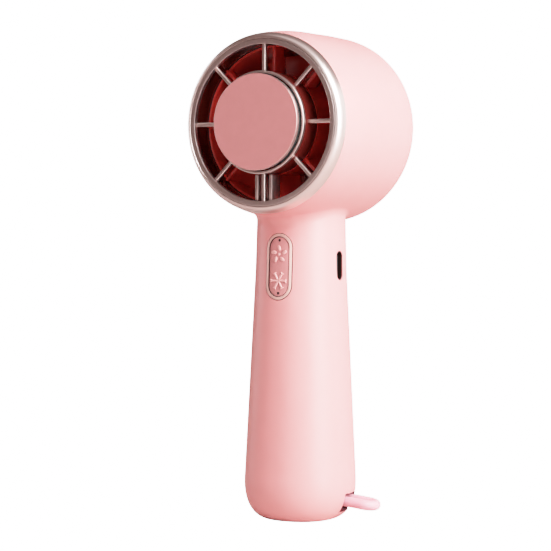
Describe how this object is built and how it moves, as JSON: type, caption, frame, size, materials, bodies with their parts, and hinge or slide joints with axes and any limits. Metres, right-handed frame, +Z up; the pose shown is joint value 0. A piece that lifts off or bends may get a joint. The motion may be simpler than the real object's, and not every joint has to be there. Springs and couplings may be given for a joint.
{
  "type": "handheld electric fan",
  "caption": "Handheld turbo fan: round barrel head with a contact cooling plate inside a spoked outlet, tapered handle, rocker button, charging port and wrist loop.",
  "frame": {"origin": "centre of the flat underside of the handle", "axes": "+Z up along the handle, -Y the way the air blows, +X the side with the charging port and the wrist loop"},
  "size_m": [0.0602, 0.0603, 0.155],
  "materials": {
    "shell_pink": "soft satin moulded plastic",
    "plate_pink": "fine matt anodised metal",
    "satin_silver": "satin metal finish",
    "duct_red": "glossy moulded plastic",
    "button_pink": "matt moulded plastic",
    "cord_pink": "soft matt silicone cord",
    "rubber_black": "matt rubber",
    "ceramic_white": "fired ceramic",
    "aluminium": "extruded",
    "steel": "bare steel",
    "brass": "turned",
    "copper": "enamelled copper wire",
    "magnet_grey": "sintered magnet",
    "board_green": "lacquered circuit board",
    "switch_black": "moulded plastic",
    "cell_blue": "shrink sleeve",
    "cradle_white": "moulded plastic",
    "foam_grey": "soft foam",
    "lens_smoke": "smoked clear plastic",
    "wire_red": "insulated lead",
    "wire_black": "insulated lead"
  },
  "bodies": {
    "fan": {"main_housing": "shell_pink", "intake_grille": "shell_pink", "front_ring": "satin_silver", "outlet_grille": "satin_silver", "lead_channel": "satin_silver", "cold_plate": "plate_pink", "plate_gasket": "rubber_black", "peltier_module": "ceramic_white", "heat_sink": "aluminium", "air_duct": "duct_red", "bearing_tube": "brass", "bearing_rear": "steel", "bearing_front": "steel", "stator_core": "steel", "winding_rear": "copper", "winding_front": "copper", "motor_board": "board_green", "button_bezel": "satin_silver", "button_pivot": "steel", "button_board": "board_green", "switch_lower": "switch_black", "switch_upper": "switch_black", "usb_shell": "steel", "usb_tongue": "switch_black", "charge_board": "board_green", "battery_cell": "cell_blue", "battery_tab_lower": "steel", "battery_tab_upper": "steel", "battery_cradle": "cradle_white", "battery_foam": "foam_grey", "battery_lead_black": "wire_black", "battery_lead_red": "wire_red", "button_lead": "wire_black", "plate_lead": "wire_red", "motor_lead": "wire_black", "loop_pin": "steel"},
    "rotor": {"impeller": "duct_red", "rotor_bell": "steel", "magnet_ring": "magnet_grey", "motor_shaft": "steel", "retaining_ring": "steel"},
    "button": {"rocker_button": "button_pink", "led_window_lower": "lens_smoke", "led_window_upper": "lens_smoke"},
    "plunger_lower": {"switch_plunger_lower": "cradle_white"},
    "plunger_upper": {"switch_plunger_upper": "cradle_white"},
    "loop": {"wrist_loop": "cord_pink"}
  },
  "joints": [
    {"name": "impeller_spin", "type": "hinge", "parent": "fan", "child": "rotor", "pos_m": [0, 0, 0.125], "axis": [0, -1, 0], "continuous": true},
    {"name": "button_rock", "type": "hinge", "parent": "fan", "child": "button", "pos_m": [0, -0.01245, 0.08046], "axis": [1, 0, 0], "range_deg": [-2.5, 2.5]},
    {"name": "plunger_lower_press", "type": "slide", "parent": "fan", "child": "plunger_lower", "axis": [0, 0.9988, -0.0486], "range_m": [0, 0.00025]},
    {"name": "plunger_upper_press", "type": "slide", "parent": "fan", "child": "plunger_upper", "axis": [0, 0.9988, -0.0486], "range_m": [0, 0.00025]},
    {"name": "loop_swing", "type": "hinge", "parent": "fan", "child": "loop", "pos_m": [0.0106, 0.0042, 0.0066], "axis": [0, 0, 1], "range_deg": [-7, 7]}
  ]
}
